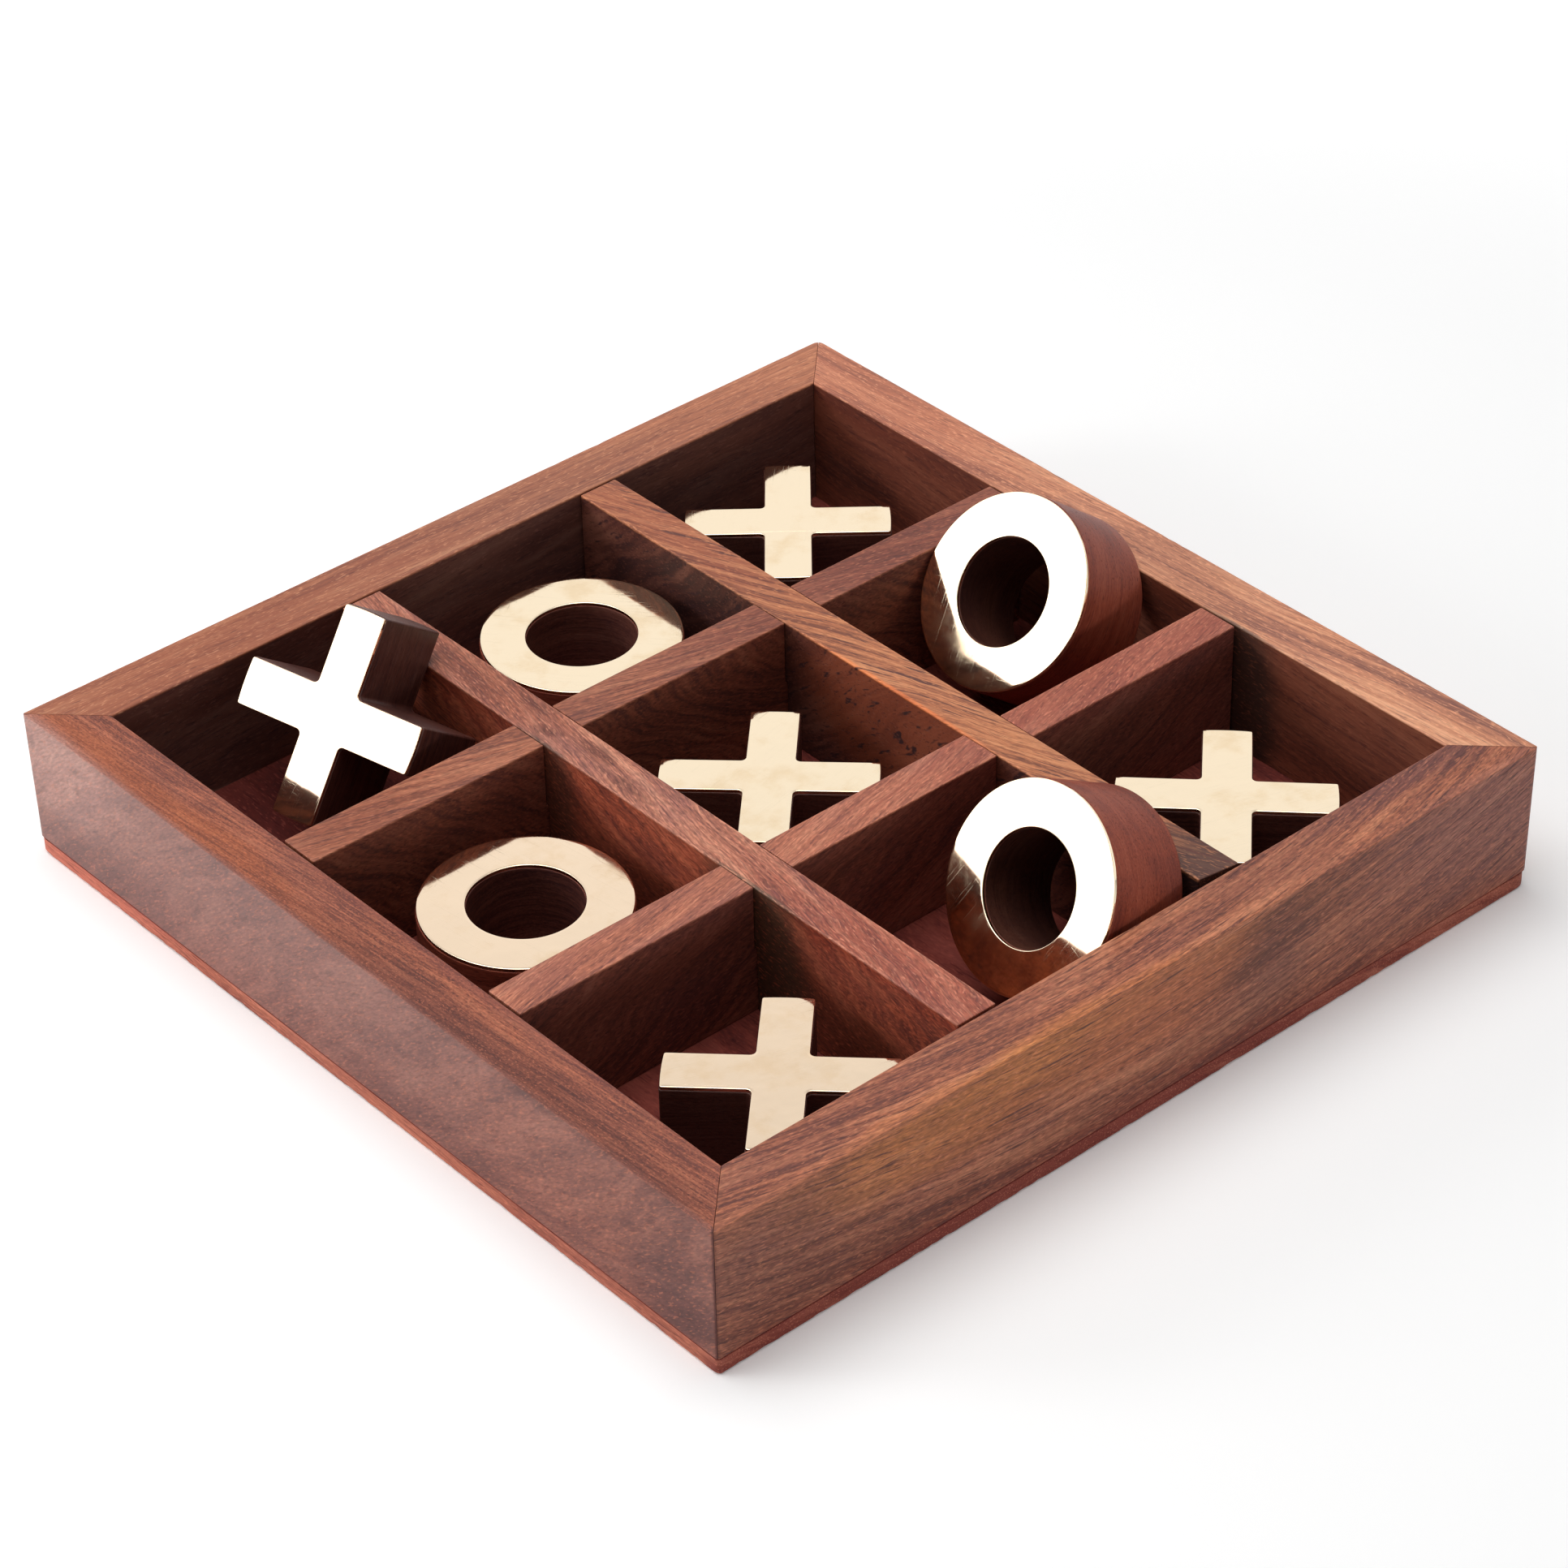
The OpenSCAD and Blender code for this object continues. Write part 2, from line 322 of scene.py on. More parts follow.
def rosewood(name, **changes):
    """Oiled rosewood: growth layers, dark streaks, pores and soft clouds along the grain."""
    look = dict(ROSEWOOD, **changes)
    mid = look["mid"]
    dark, light, deep, bright, cool = (tinted(mid, t) for t in (DARK, LIGHT, DEEP, BRIGHT, COOL))
    g = Graph(bpy.data.materials.new(name))
    raw = g.attribute("grain")
    place = g.vector("ADD", raw, look["offset"])
    along, across, through = g.split(place)
    raw_parts = g.split(raw)
    run, beside, above = raw_parts

    turn = math.radians(look["layer_turn"])
    wander = g.noise(place, WANDER, 2.0)
    ripple = g.noise(place, RIPPLE, 2.0)
    depth = g.maths("MULTIPLY", across, math.cos(turn))
    depth = g.maths("MULTIPLY_ADD", through, math.sin(turn), depth)
    bend = g.maths("MULTIPLY_ADD", run, look["curve"], look["slope"])
    depth = g.maths("MULTIPLY_ADD", run, bend, depth)
    depth = g.maths("MULTIPLY_ADD", wander, 2 * look["warp"], depth)
    depth = g.maths("MULTIPLY_ADD", ripple, 2 * look["ripple"], depth)
    level = g.maths("MULTIPLY", through, math.cos(turn))
    level = g.maths("MULTIPLY_ADD", across, -math.sin(turn), level)
    lean = math.radians(look["lean"])
    rising = g.maths("MULTIPLY", along, math.cos(lean))
    rising = g.maths("MULTIPLY_ADD", level, math.sin(lean), rising)
    level = g.maths("MULTIPLY", level, math.cos(lean))
    level = g.maths("MULTIPLY_ADD", along, -math.sin(lean), level)
    layer_place = g.join(rising, depth, level)

    zones = g.noise(layer_place, ZONES, 2.0)
    bands = g.noise(layer_place, BANDS, 3.0, 0.55)
    lines = g.noise(layer_place, LINES, 2.0, 0.55)
    fibre = g.noise(layer_place, FIBRE, 2.0, 0.6)
    tone = 0.5
    for layer, share in zip((zones, bands, lines, fibre),
                            (look["zones"], look["bands"], look["lines"], look["fibre"])):
        tone = g.maths("ADD", tone, g.maths("MULTIPLY_ADD", layer, share, -share / 2))
    colour = g.ramp(tone, ((0.2, dark), (0.5, mid), (0.82, light)))
    figure = g.vector("MULTIPLY", colour, tuple(1 / part for part in mid[:3]))

    clouds = g.noise(place, CLOUDS, 3.0, 0.6)
    cloud_mask = g.ease(clouds, 0.45, 0.62, 0.0, look["clouds"])
    colour = g.mix(cloud_mask, colour, cool)
    if look["glints"]:
        glints = g.noise(g.vector("ADD", layer_place, (3, 13, 23)), GLINTS, 2.0, 0.5)
        colour = g.mix(g.ease(glints, 0.56, 0.66, 0.0, look["glints"]), colour, bright)

    for patch_at, patch_size, patch_colour, patch_share, *more in look["patches"]:
        kept, ragged = more + [PATCH_FIGURE, PATCH_RAGGED][len(more):]
        scale = tuple(1 / s for s in patch_size)
        shift = tuple(-a / s for a, s in zip(patch_at, patch_size))
        reach = g.vector("LENGTH", g.vector("MULTIPLY_ADD", raw, scale, shift))
        reach = g.maths("MULTIPLY_ADD", clouds, 1.1 * ragged, reach)
        reach = g.maths("MULTIPLY_ADD", bands, 1.4 * ragged, reach)
        mask = g.ease(reach, 1.6, 2.7, patch_share, 0.0)
        stained = tuple(c * (1 - kept + 2 * kept * m) for c, m in zip(patch_colour, mid[:3]))
        own_figure = g.mix(kept, (1.0, 1.0, 1.0, 1.0), figure)
        colour = g.mix(mask, colour, g.multiply((*stained, 1.0), own_figure))

    # Each layer of detail is shifted, so that no two of them follow the same noise
    stripes = g.noise(g.vector("ADD", layer_place, (17, 3, 9)), look["streak"], 2.0, 0.6)
    stripe_mask = g.ease(stripes, 0.58, 0.68, 0.0, look["stripes"])
    colour = g.mix(stripe_mask, colour, deep)
    pores = g.noise(g.vector("ADD", layer_place, (5, 1, 2)), PORES, 1.0, 0.4)
    pore_mask = g.ease(pores, 0.62, 0.70, 0.0, look["pores"])
    colour = g.mix(pore_mask, colour, deep)
    flecks = g.noise(g.vector("ADD", layer_place, (31, 7, 3)), FLECKS, 1.0, 0.4)
    fleck_mask = g.ease(flecks, 0.58, 0.70, 0.0, look["flecks"])
    colour = g.mix(fleck_mask, colour, bright)
    specks = g.noise(g.vector("ADD", layer_place, (11, 23, 5)), SPECKS, 1.0, 0.5)
    level_of_specks = g.maths("MULTIPLY_ADD", specks, 2 * look["speckle"], 1 - look["speckle"])
    colour = g.multiply(colour, level_of_specks)

    # Painted shade: the inner faces' colour is multiplied darker, and the same mask makes them rougher
    inner = 0.0
    if look["shade"]:
        axis, middle, half, top, factor = look["shade"]
        aside = g.maths("ABSOLUTE", g.maths("SUBTRACT", raw_parts[axis], middle))
        inner = g.ease(aside, half - 0.28, half - 0.08)
        inner = g.maths("MULTIPLY", inner, g.ease(above, top - 0.5, top - 0.2, 1.0, 0.0))
        colour = g.mix(inner, colour, g.multiply(colour, (*factor, 1.0)))
    # A dark line painted along the mitre joints stands in for the shadow in their gap
    if look["corner_line"]:
        from_end = g.maths("MINIMUM", run, g.maths("SUBTRACT", SIDE, run))
        gap = g.maths("SUBTRACT", from_end, beside)
        line = g.ease(gap, 0.25, 0.6, look["corner_line"], 0.0)
        line = g.maths("MULTIPLY", line, g.ease(beside, 0.3, 0.9, 1.0, 0.0))
        colour = g.mix(line, colour, deep)
    if look["wear"]:
        width, share = look["wear"]
        from_side = g.maths("MINIMUM", beside, g.maths("SUBTRACT", width, beside))
        from_arris = g.maths("MAXIMUM", from_side, g.maths("SUBTRACT", WALL_HEIGHT, above))
        worn = g.ease(g.maths("MULTIPLY_ADD", clouds, 1.6, from_arris), 0.75, 1.15, share, 0.0)
        rubbed = g.noise(place, RUBBED, 2.0, 0.6)
        worn = g.maths("MULTIPLY", worn, g.ease(rubbed, 0.46, 0.6, 0.2, 1.0))
        colour = g.mix(worn, colour, bright)
    # The hole's wall gets painted shade
    if look["bore"]:
        bore = g.attribute("bore", "Fac")
        colour = g.mix(bore, colour, g.multiply(colour, (*look["bore"], 1.0)))
    g.feed(g.shader.inputs["Base Color"], colour)

    rough = g.maths("MULTIPLY_ADD", fibre, 0.2, look["rough"] - 0.1)
    rough = g.maths("MULTIPLY_ADD", pore_mask, 0.3, rough)
    rough = g.maths("MULTIPLY_ADD", inner, 0.25, rough)
    g.feed(g.shader.inputs["Roughness"], rough)
    g.shader.inputs["Specular IOR Level"].default_value = look["specular"]
    height = g.maths("MULTIPLY_ADD", fibre, 0.8, g.maths("MULTIPLY", lines, 0.6))
    height = g.maths("SUBTRACT", height, pore_mask)
    g.feed(g.shader.inputs["Normal"], g.bump(height, 0.5, 0.05 * MM))
    if look["sheen"]:
        full, none, weight = look["sheen"]
        diagonal = g.maths("MULTIPLY_ADD", above, -2.4, run)
        fade = g.ease(g.maths("MULTIPLY_ADD", clouds, 30, diagonal), full, none, weight, 0.0)
        outer = g.ease(beside, 0.15, 0.4, 1.0, 0.0)
        g.feed(g.shader.inputs["Coat Weight"], g.maths("MULTIPLY", fade, outer))
        g.shader.inputs["Coat Roughness"].default_value = 0.3
        g.shader.inputs["Coat IOR"].default_value = 1.6
    return g.owner


# Brass

# Fineness of its stains, its scratches in two directions and its waves, per mm
STAINS = (0.12, 0.12, 0.12)
SCRATCHES, CROSS_SCRATCHES = (0.12, 5.0, 1.0), (5.5, 0.35, 1.0)
BRASS_WAVES = (0.16, 0.16, 0.16)


def brass(name, clean, tarnish):
    """Hand polished brass: fine scratches in two directions, faint stains and a wavy surface."""
    g = Graph(bpy.data.materials.new(name))
    place = g.attribute("grain")
    stains = g.noise(place, STAINS, 4.0, 0.6)
    stain_mask = g.ease(stains, 0.47, 0.72, 0.0, 0.6)
    g.feed(g.shader.inputs["Base Color"], g.mix(stain_mask, clean, tarnish))
    g.shader.inputs["Metallic"].default_value = 1.0

    first = g.noise(place, SCRATCHES, 2.0, 0.6)
    second = g.noise(place, CROSS_SCRATCHES, 2.0, 0.6)
    scratches = g.maths("MAXIMUM", g.ease(first, 0.6, 0.72), g.ease(second, 0.64, 0.74, 0.0, 0.7))
    rough = g.maths("MULTIPLY_ADD", scratches, 0.1, 0.06)
    rough = g.maths("MULTIPLY_ADD", stain_mask, 0.15, rough)
    g.feed(g.shader.inputs["Roughness"], rough)

    waves = g.noise(place, BRASS_WAVES, 2.0, 0.5)
    normal = g.bump(waves, 0.5, 0.06 * MM)
    normal = g.bump(scratches, 0.12, 0.01 * MM, normal)
    g.feed(g.shader.inputs["Normal"], normal)
    return g.owner


# Mesh helpers

def section(low, high, radii, spacing=SECTION_STEP, steps=4):
    """Points round a rectangle, with a radius at each corner, beginning at the low-low one."""
    corners = (
        (Vector((low[0], low[1])), 180), (Vector((high[0], low[1])), 270),
        (Vector((high[0], high[1])), 0), (Vector((low[0], high[1])), 90),
    )
    centre = (Vector(low) + Vector(high)) / 2
    arcs = []
    for (corner, start), radius in zip(corners, radii):
        inward = Vector((math.copysign(1, centre.x - corner.x), math.copysign(1, centre.y - corner.y)))
        middle = corner + inward * radius
        arcs.append([
            middle + radius * Vector((math.cos(a), math.sin(a)))
            for a in (math.radians(start + 90 * k / steps) for k in range(steps + 1))
        ])
    points = []
    for arc, following in zip(arcs, arcs[1:] + arcs[:1]):
        points += arc
        first, last = arc[-1], following[0]
        length = (last - first).length
        support = min(ARC_SUPPORT, length / 4)
        count = max(1, round((length - 2 * support) / spacing))
        for k in range(count + 1):
            at = support + (length - 2 * support) * k / count
            points.append(first.lerp(last, at / length))
    return points


def loft(bm, rings, cap=True):
    """Skins a row of closed rings of points, with a face on each end if they are capped."""
    rows = [[bm.verts.new(p) for p in ring] for ring in rings]
    for lower, upper in zip(rows, rows[1:]):
        for i in range(len(lower)):
            j = (i + 1) % len(lower)
            bm.faces.new((lower[i], lower[j], upper[j], upper[i]))
    if cap:
        bm.faces.new(rows[0][::-1])
        bm.faces.new(rows[-1])
    return rows


def wave(bm, depth, size, seed):
    """Moves each point inwards by a small smooth amount, as hand sanding leaves it."""
    bm.normal_update()

    # Every seed reads another part of the noise
    shift = Vector((seed, 3.7 * seed, 0.0))
    moves = []
    for v in bm.verts:
        share = 0.5 + 0.5 * noise.noise(v.co / size + shift)
        moves.append(v.normal * depth * max(0.0, min(1.0, share)))
    for v, move in zip(bm.verts, moves):
        v.co -= move


def make_piece(name, bm, material, body, node, to_grain):
    """Turns the mesh into the object that stands for a CAD node."""
    bmesh.ops.recalc_face_normals(bm, faces=bm.faces)
    mesh = bpy.data.meshes.new(name)
    bm.to_mesh(mesh)
    bm.free()
    grain = mesh.attributes.new("grain", "FLOAT_VECTOR", "POINT")
    for vertex, value in zip(mesh.vertices, grain.data):
        value.vector = to_grain(vertex.co)
    mesh.materials.append(material)
    mesh.shade_smooth()
    mesh.set_sharp_from_angle(angle=SHARP_ANGLE)
    piece = bpy.data.objects.new(name, mesh)
    bpy.context.scene.collection.objects.link(piece)
    normals = piece.modifiers.new("even_normals", "WEIGHTED_NORMAL")
    normals.keep_sharp = True
    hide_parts(node)
    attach(piece, body)
    return piece


# Rails

def corner_inset(s, radius):
    """How far a rounded outer corner lies inside the square one, at a distance along the side."""
    if s >= radius:
        return 0.0
    return radius - math.sqrt(radius ** 2 - (radius - s) ** 2)


def corner_radius(corner, height):
    """Radius of an outer corner at a height above the floor."""
    top, foot = corner
    return foot + (top - foot) * min(1.0, height / RAIL_TOP)


def rail(name, turn, start, end, material, seed):
    """One mitred rail, built along the front side and turned about the middle."""
    points = section(
        (0.0, PANEL_TOP), (RAIL_DEPTH, RAIL_TOP),
        (SEAM_ROUND, SEAM_ROUND, INNER_ARRIS, OUTER_ARRIS),
    )
    start_to = RAIL_ENDS[-1]
    between = [start_to + (SIDE - 2 * start_to) * k / RAIL_SECTIONS for k in range(1, RAIL_SECTIONS)]
    places = [*RAIL_ENDS, *between, *(SIDE - s for s in reversed(RAIL_ENDS))]
    centre = Vector((RAIL_DEPTH / 2, (PANEL_TOP + RAIL_TOP) / 2))
    rings = []
    for index, place in enumerate(places):
        t = place / SIDE
        at_mitre = index in (0, len(places) - 1)
        ring = []
        for d, z in points:
            if at_mitre:
                d += math.copysign(MITRE_ROUND, centre.x - d)
                z += math.copysign(MITRE_ROUND, centre.y - z)
            start_r, end_r = corner_radius(start, z), corner_radius(end, z)
            # A mitre reaches only as far out as its rounded corner does on the diagonal
            corner_r = start_r if t < 0.5 else end_r
            slant = max(d, (1 - math.sqrt(0.5)) * corner_r)
            s = slant + MITRE_GAP + t * (BOARD - 2 * slant - 2 * MITRE_GAP)
            depth = max(d, corner_inset(s, start_r), corner_inset(BOARD - s, end_r))
            ring.append(Vector((s - HALF, depth - HALF, z)))
        rings.append(ring)
    bm = bmesh.new()
    loft(bm, rings)
    bmesh.ops.recalc_face_normals(bm, faces=bm.faces)
    wave(bm, SURFACE_WAVE, RAIL_WAVES, seed)
    for v in bm.verts:
        if RAIL_TOP - v.co.z < NICK_ZONE and v.co.y + HALF < NICK_ZONE:
            nick = noise.noise(Vector((v.co.x / NICK_LENGTH, seed, 0.0)))
            v.co += Vector((0, 1, -1)) * NICK_DEPTH * max(0.0, nick - NICK_LEVEL) * 2
    spin = Matrix.Rotation(math.radians(turn), 4, "Z")
    back = spin.inverted()
    bmesh.ops.transform(bm, matrix=spin, verts=bm.verts)

    def to_grain(point):
        p = back @ point
        return Vector((p.x + HALF, p.y + HALF, p.z - PANEL_TOP)) / MM

    make_piece("rail_" + name, bm, material, "board", name + "_rail", to_grain)


# Dividers

def divider(name, material, seed, worn_end=0.0):
    """One divider, with the notches of its half laps cut as in its CAD node."""
    node = name + "_divider"
    low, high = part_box(node)
    along_x = high.x - low.x > high.y - low.y
    run, side = (0, 1) if along_x else (1, 0)
    length, thick = high[run] - low[run], high[side] - low[side]
    crossing = ("left_divider", "right_divider") if along_x else ("front_divider", "back_divider")
    notches = [(a[run] - LAP_GAP, b[run] + LAP_GAP) for a, b in map(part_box, crossing)]
    cuts = sorted([-length / 2, length / 2, *(end for notch in notches for end in notch)])
    stations = []
    for a, b in zip(cuts, cuts[1:]):
        count = max(1, round((b - a) / DIVIDER_STEP))
        stations += [a + (b - a) * k / count for k in range(count)]
    stations.append(cuts[-1])
    heights = (low.z, (low.z + high.z) / 2, high.z)

    # The dividers along X run over the others, so their notches are in the lower half
    notched_half = 0 if along_x else 1
    bm = bmesh.new()
    corners = {}

    def corner(i, k, q):
        if (i, k, q) not in corners:
            corners[i, k, q] = bm.verts.new((stations[i], q * thick / 2, heights[k]))
        return corners[i, k, q]

    def present(i, k):
        if i < 0 or i >= len(stations) - 1 or k < 0 or k > 1:
            return False
        middle = (stations[i] + stations[i + 1]) / 2
        return not (k == notched_half and any(a < middle < b for a, b in notches))

    around = ((0, -1), (1, -1), (1, 1), (0, 1))
    for i in range(len(stations) - 1):
        for k in range(2):
            if not present(i, k):
                continue
            faces = [[(i, k, q), (i + 1, k, q), (i + 1, k + 1, q), (i, k + 1, q)] for q in (-1, 1)]
            for step, beyond in ((1, k + 1), (0, k - 1)):
                if not present(i, beyond):
                    faces.append([(i + p, k + step, q) for p, q in around])
            for step, beyond in ((0, i - 1), (1, i + 1)):
                if not present(beyond, k):
                    faces.append([(i + step, k + p, q) for p, q in around])
            for face in faces:
                bm.faces.new([corner(*at) for at in face])
    bmesh.ops.recalc_face_normals(bm, faces=bm.faces)
    sharp = [e for e in bm.edges if e.is_convex and e.calc_face_angle(0.0) > ARRIS_ANGLE]
    bmesh.ops.bevel(bm, geom=sharp, offset=DIVIDER_ARRIS, segments=3, profile=0.5, affect="EDGES")
    wave(bm, SURFACE_WAVE, DIVIDER_WAVES, seed)

    # A worn end is shorter on one side of the divider than on the other
    for v in bm.verts:
        if length / 2 - v.co.x < WORN_ZONE:
            v.co.x -= worn_end * (0.45 - 0.55 * v.co.y / (thick / 2))
    middle = (low + high) / 2
    spin = Matrix.Rotation(0 if along_x else math.radians(90), 4, "Z")
    place = Matrix.Translation((middle.x, middle.y, 0)) @ spin
    back = place.inverted()
    bmesh.ops.transform(bm, matrix=place, verts=bm.verts)

    def to_grain(point):
        p = back @ point
        return Vector((p.x + length / 2, p.y + thick / 2, p.z - low.z)) / MM

    make_piece("divider_" + name, bm, material, "board", node, to_grain)


# Base panel

def panel(material):
    """Thin sheet under the frame, with rounded corners and an unevenly eased lower edge."""
    rings = []
    for z, inset in PANEL_LAYERS:
        outline = section((-HALF, -HALF), (HALF, HALF), PANEL_CORNERS, PANEL_STEP)
        ring = []
        for point in outline:
            ease = inset * MM
            if z < CHIP_TOP:
                chip = noise.noise(Vector((point.x, point.y, 0)) / CHIP_SIZE)
                ease += max(0.0, chip) * CHIP_DEPTH * (CHIP_TOP - z) / CHIP_TOP
            if z < PANEL_WAVES_TOP:
                swell = noise.noise(Vector((point.x, point.y, z * MM)) / PANEL_WAVES)
                ease += (0.5 + 0.5 * swell) * SURFACE_WAVE
            shrink = 1 - ease / HALF
            height = z / PANEL_LAYERS[-1][0] * PANEL_TOP
            ring.append(Vector((point.x * shrink, point.y * shrink, height)))
        rings.append(ring)
    bm = bmesh.new()
    loft(bm, rings)

    def to_grain(point):
        return Vector((point.x + HALF, point.y + HALF, point.z)) / MM

    make_piece("panel_base", bm, material, "board", "base_panel", to_grain)


# Playing pieces

def middle_of(node):
    """Middle of a CAD node's surface, each face counted by its area."""
    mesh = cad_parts[node].data
    total = Vector((0, 0, 0))
    area = 0.0
    for face in mesh.polygons:
        total += face.center * face.area
        area += face.area
    return total / area


class Seat:
    """Where a playing piece lies: its own axes and sizes, read from its two CAD nodes."""

    def __init__(self, name):
        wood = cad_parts[name + "_wood"].data
        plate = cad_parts[name + "_brass"].data
        wood_middle, plate_middle = middle_of(name + "_wood"), middle_of(name + "_brass")
        up = (plate_middle - wood_middle).normalized()
        heights = [(v.co - wood_middle).dot(up) for v in wood.vertices]
        plate_heights = [(v.co - wood_middle).dot(up) for v in plate.vertices]
        self.body_height = max(heights) - min(heights)
        self.plate_height = max(plate_heights) - max(heights)
        helper = Vector((1, 0, 0)) if abs(up.x) < 0.8 else Vector((0, 1, 0))
        first = (helper - up * helper.dot(up)).normalized()
        second = up.cross(first)

        # The arms of a cross repeat every quarter turn, and their ends count most
        real = imaginary = 0.0
        for v in plate.vertices:
            offset = v.co - wood_middle
            x, y = offset.dot(first), offset.dot(second)
            angle, weight = math.atan2(y, x), math.hypot(x, y) ** 8
            real += weight * math.cos(4 * angle)
            imaginary += weight * math.sin(4 * angle)
        angle = math.atan2(imaginary, real) / 4 if name.startswith("cross") else 0.0
        x_axis = first * math.cos(angle) + second * math.sin(angle)
        y_axis = up.cross(x_axis)
        origin = wood_middle + up * min(heights)
        self.matrix = Matrix((
            (x_axis.x, y_axis.x, up.x, origin.x),
            (x_axis.y, y_axis.y, up.y, origin.y),
            (x_axis.z, y_axis.z, up.z, origin.z),
            (0, 0, 0, 1),
        ))

        def extent(mesh):
            """Least and greatest distance from the piece's axis, and the reach along X."""
            spots = [((v.co - origin).dot(x_axis), (v.co - origin).dot(y_axis)) for v in mesh.vertices]
            radii = [math.hypot(x, y) for x, y in spots]
            return min(radii), max(radii), max(abs(x) for x, _ in spots)

        self.inner, self.outer, self.reach = extent(wood)
        self.plate_inner, self.plate_outer, self.plate_reach = extent(plate)


def cross_outline(reach, half_arm, inset):
    """Points round a cross whose arms end in a slightly bowed edge."""
    h, a = reach - inset, half_arm - inset
    outer_r = max(CROSS_CORNER - inset, SMALLEST_ROUND)
    inner_r = CROSS_FILLET + inset
    corners = [
        (h, -a, outer_r), (h, a, outer_r), (a, a, inner_r), (a, h, outer_r), (-a, h, outer_r),
        (-a, a, inner_r), (-h, a, outer_r), (-h, -a, outer_r), (-a, -a, inner_r),
        (-a, -h, outer_r), (a, -h, outer_r), (a, -a, inner_r),
    ]
    arc_steps, flat_steps = 5, 6
    arcs = []
    for i, (x, y, radius) in enumerate(corners):
        corner = Vector((x, y))
        before = Vector(corners[i - 1][:2]) - corner
        after = Vector(corners[(i + 1) % 12][:2]) - corner
        start, stop = corner + before.normalized() * radius, corner + after.normalized() * radius
        middle = start + after.normalized() * radius
        arc = []
        for k in range(arc_steps + 1):
            angle = math.radians(90 * k / arc_steps)
            arc.append(middle + (start - middle) * math.cos(angle) + (stop - middle) * math.sin(angle))
        arcs.append(arc)
    points = []
    for i, arc in enumerate(arcs):
        points += arc
        first, last = arc[-1], arcs[(i + 1) % 12][0]
        points += [first.lerp(last, k / flat_steps) for k in range(1, flat_steps)]
    bowed = []
    for p in points:
        u, v = p
        at_x_end, at_y_end = abs(u) > h - CROSS_END_ZONE, abs(v) > h - CROSS_END_ZONE
        if at_x_end:
            u -= math.copysign(CROSS_END_BULGE * (v / a) ** 2, u)
        if at_y_end:
            v -= math.copysign(CROSS_END_BULGE * (u / a) ** 2, v)
        bowed.append(Vector((u, v)))
    return bowed


def cross_mesh(reach, half_arm, layers):
    """A cross built up from layers, each a height and an inset."""
    bm = bmesh.new()
    rings = []
    for height, inset in layers:
        rings.append([Vector((p.x, p.y, height)) for p in cross_outline(reach, half_arm, inset)])
    loft(bm, rings)
    return bm


def ring_mesh(inner, outer, low, high, foot_round, head_round):
    """A ring turned from a rounded section."""
    points = section((inner, low), (outer, high), (foot_round, foot_round, head_round, head_round))
    bm = bmesh.new()
    rings = []
    for k in range(RING_SEGMENTS):
        angle = 2 * math.pi * k / RING_SEGMENTS
        rings.append([Vector((p.x * math.cos(angle), p.x * math.sin(angle), p.y)) for p in points])
    rows = loft(bm, rings, cap=False)
    first, last = rows[0], rows[-1]
    for i in range(len(first)):
        j = (i + 1) % len(first)
        bm.faces.new((last[i], last[j], first[j], first[i]))
    return bm


def set_in_place(bm, seat, seed):
    """Makes the surface slightly uneven and moves the piece into its cell."""
    bmesh.ops.recalc_face_normals(bm, faces=bm.faces)
    wave(bm, PIECE_WAVE, PIECE_WAVES, seed)
    bmesh.ops.transform(bm, matrix=seat.matrix, verts=bm.verts)


def playing_piece(name, wood_material, brass_material, seed):
    """A wooden body and the thin brass plate on it."""
    seat = Seat(name)
    is_ring = name.startswith("ring")
    top = seat.body_height
    head = top + seat.plate_height
    if is_ring:
        body = ring_mesh(seat.inner, seat.outer, 0.0, top, WOOD_FOOT_ROUND, WOOD_HEAD_ROUND)
        plate = ring_mesh(
            seat.plate_inner, seat.plate_outer, top, head, BRASS_FOOT_ROUND, BRASS_EDGE_ROUND)
    else:
        foot, shoulder, edge = WOOD_FOOT_ROUND, WOOD_HEAD_ROUND, BRASS_EDGE_ROUND
        body_layers = [(0.0, 2.2 * foot), (0.0, foot)]
        body_layers += [(rise * foot, inset * foot) for rise, inset in EDGE_CURVE]
        body_layers += [(2 * foot, 0.0), *((top * k / 5, 0.0) for k in range(1, 5))]
        body_layers += [(top - 3 * shoulder, 0.0), (top - shoulder, 0.0)]
        body_layers += [(top - 0.3 * shoulder, 0.3 * shoulder), (top, shoulder), (top, 5 * shoulder)]
        plate_layers = [(top, 0.5 * MM), (top, 0.02 * MM), (top + 0.05 * MM, 0.0)]
        plate_layers += [(head - rise * edge, inset * edge) for rise, inset in reversed(EDGE_CURVE)]
        plate_layers += [(head, edge), (head, 0.6 * MM)]
        rim = seat.reach - seat.plate_reach
        body = cross_mesh(seat.reach, CROSS_ARM / 2, body_layers)
        plate = cross_mesh(seat.plate_reach, CROSS_ARM / 2 - rim, plate_layers)
    set_in_place(body, seat, seed)
    set_in_place(plate, seat, seed + 5)
    back = seat.matrix.inverted()

    # Every piece is cut at its own angle from its own place in the plank
    cut = Matrix.Rotation(CUT_TURN + CUT_STEP * seed, 4, "Z")
    plank = PLANK_STEP * seed

    def to_grain(point):
        return cut @ ((back @ point) / MM) + plank

    made = make_piece(name + "_body", body, wood_material, name, name + "_wood", to_grain)
    if is_ring:
        mesh = made.data
        # Marks the points of the hole's wall, which get painted shade
        bore = mesh.attributes.new("bore", "FLOAT", "POINT")
        for vertex, value in zip(mesh.vertices, bore.data):
            p = back @ vertex.co
            value.value = 1.0 if math.hypot(p.x, p.y) < seat.inner + 0.1 * MM else 0.0
    make_piece(name + "_plate", plate, brass_material, name, name + "_brass", to_grain)


# Materials of the parts

